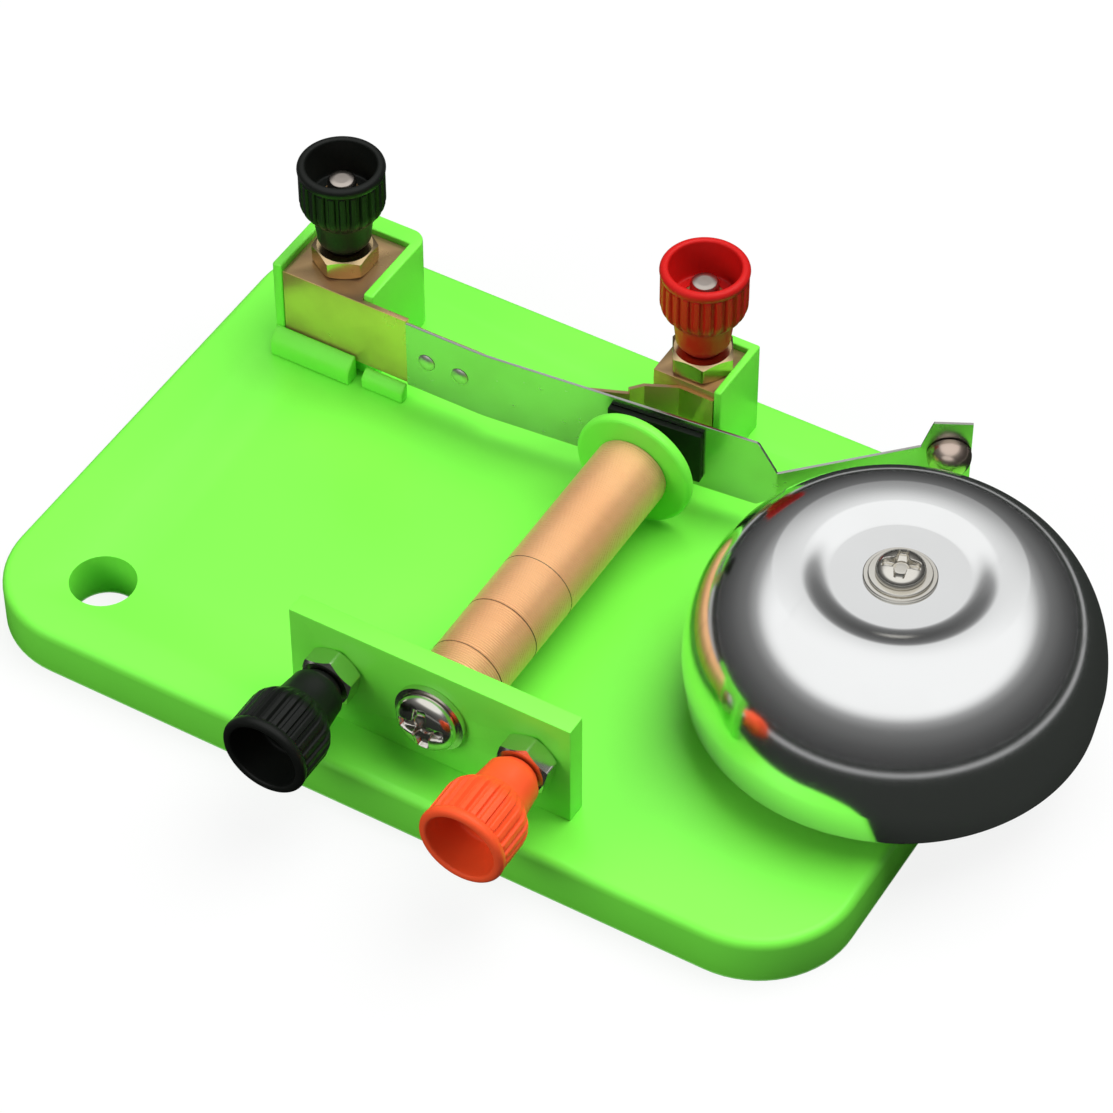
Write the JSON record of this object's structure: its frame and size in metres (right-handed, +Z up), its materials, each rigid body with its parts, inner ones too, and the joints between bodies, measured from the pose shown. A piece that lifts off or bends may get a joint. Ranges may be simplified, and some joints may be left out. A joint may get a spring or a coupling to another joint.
{
  "type": "electric bell demonstrator",
  "caption": "Electric bell teaching model: electromagnet, sprung armature with hammer, contact finger, metal gong and screw-cap binding posts on a green moulded base.",
  "frame": {"origin": "centre of the base's underside", "axes": "+X along the base towards the gong, +Y towards the two upright posts, +Z up"},
  "size_m": [0.1406, 0.0956, 0.0384],
  "materials": {
    "green_plastic": "smooth satin moulding",
    "brass": "rolled sheet and turned brass",
    "spring_steel": "bright rolled strip",
    "nickel_plate": "nickel plate",
    "soft_iron": "dark oxide",
    "hammer_metal": "turned and plated",
    "enamelled_copper": "enamelled copper wire; brass stands for copper",
    "black_plastic": "moulded, glossy",
    "orange_red_plastic": "moulded, glossy",
    "red_plastic": "moulded, glossy",
    "gong_metal": "polished nickel plate"
  },
  "bodies": {
    "base": {"base_moulding": "green_plastic", "terminal_panel": "green_plastic", "left_boss": "green_plastic", "right_boss": "green_plastic", "left_ledge": "green_plastic", "right_ledge": "green_plastic", "left_bracket": "brass", "right_bracket": "brass", "contact_finger": "brass", "finger_rivet": "brass", "spring_root": "spring_steel", "root_rivets": "nickel_plate", "bobbin": "green_plastic", "coil_winding": "enamelled_copper", "coil_outer_layer": "enamelled_copper", "left_coil_lead": "enamelled_copper", "right_coil_lead": "enamelled_copper", "iron_core": "soft_iron", "core_screw": "nickel_plate", "core_washer": "nickel_plate", "front_left_stud": "nickel_plate", "front_right_stud": "nickel_plate", "left_lug": "nickel_plate", "right_lug": "nickel_plate", "front_left_nut": "nickel_plate", "front_right_nut": "nickel_plate", "rear_left_stud": "nickel_plate", "rear_right_stud": "nickel_plate", "rear_left_nut": "brass", "rear_right_nut": "brass", "gong": "gong_metal", "gong_pillar": "nickel_plate", "gong_screw": "nickel_plate", "gong_washer": "nickel_plate", "gong_spring_washer": "spring_steel", "pillar_screw": "nickel_plate"},
    "armature": {"armature_strip": "spring_steel", "armature_iron": "soft_iron", "hammer_dome": "hammer_metal"},
    "front_left_screw": {"front_left_insert": "brass"},
    "front_left_cap": {"front_left_knob": "black_plastic"},
    "front_right_screw": {"front_right_insert": "brass"},
    "front_right_cap": {"front_right_knob": "orange_red_plastic"},
    "rear_left_screw": {"rear_left_insert": "brass"},
    "rear_left_cap": {"rear_left_knob": "black_plastic"},
    "rear_right_screw": {"rear_right_insert": "brass"},
    "rear_right_cap": {"rear_right_knob": "red_plastic"}
  },
  "joints": [
    {"name": "armature_swing", "type": "hinge", "parent": "base", "child": "armature", "pos_m": [-0.0196, 0.01825, 0.0155], "axis": [0, 0, 1], "range_deg": [-7, 0], "stiffness_Nm_per_rad": 0.05},
    {"name": "front_left_travel", "type": "slide", "parent": "base", "child": "front_left_screw", "axis": [0, -1, 0], "range_m": [0, 0.0035]},
    {"name": "front_left_turn", "type": "hinge", "parent": "front_left_screw", "child": "front_left_cap", "pos_m": [-0.0083, -0.03875, 0.0163], "axis": [0, -1, 0], "range_deg": [0, 1800.5]},
    {"name": "front_right_travel", "type": "slide", "parent": "base", "child": "front_right_screw", "axis": [0, -1, 0], "range_m": [0, 0.0035]},
    {"name": "front_right_turn", "type": "hinge", "parent": "front_right_screw", "child": "front_right_cap", "pos_m": [0.0203, -0.03875, 0.0163], "axis": [0, -1, 0], "range_deg": [0, 1800.5]},
    {"name": "rear_left_travel", "type": "slide", "parent": "base", "child": "rear_left_screw", "axis": [0, 0, 1], "range_m": [0, 0.0035]},
    {"name": "rear_left_turn", "type": "hinge", "parent": "rear_left_screw", "child": "rear_left_cap", "pos_m": [-0.0453, 0.02495, 0.02425], "axis": [0, 0, 1], "range_deg": [0, 1800.5]},
    {"name": "rear_right_travel", "type": "slide", "parent": "base", "child": "rear_right_screw", "axis": [0, 0, 1], "range_m": [0, 0.0035]},
    {"name": "rear_right_turn", "type": "hinge", "parent": "rear_right_screw", "child": "rear_right_cap", "pos_m": [0.0064, 0.032, 0.02425], "axis": [0, 0, 1], "range_deg": [0, 1800.5]}
  ],
  "couplings": [
    {"joint": "front_left_turn", "follows": "front_left_travel", "rad_per_m": 8976},
    {"joint": "front_right_turn", "follows": "front_right_travel", "rad_per_m": 8976},
    {"joint": "rear_left_turn", "follows": "rear_left_travel", "rad_per_m": 8976},
    {"joint": "rear_right_turn", "follows": "rear_right_travel", "rad_per_m": 8976}
  ]
}
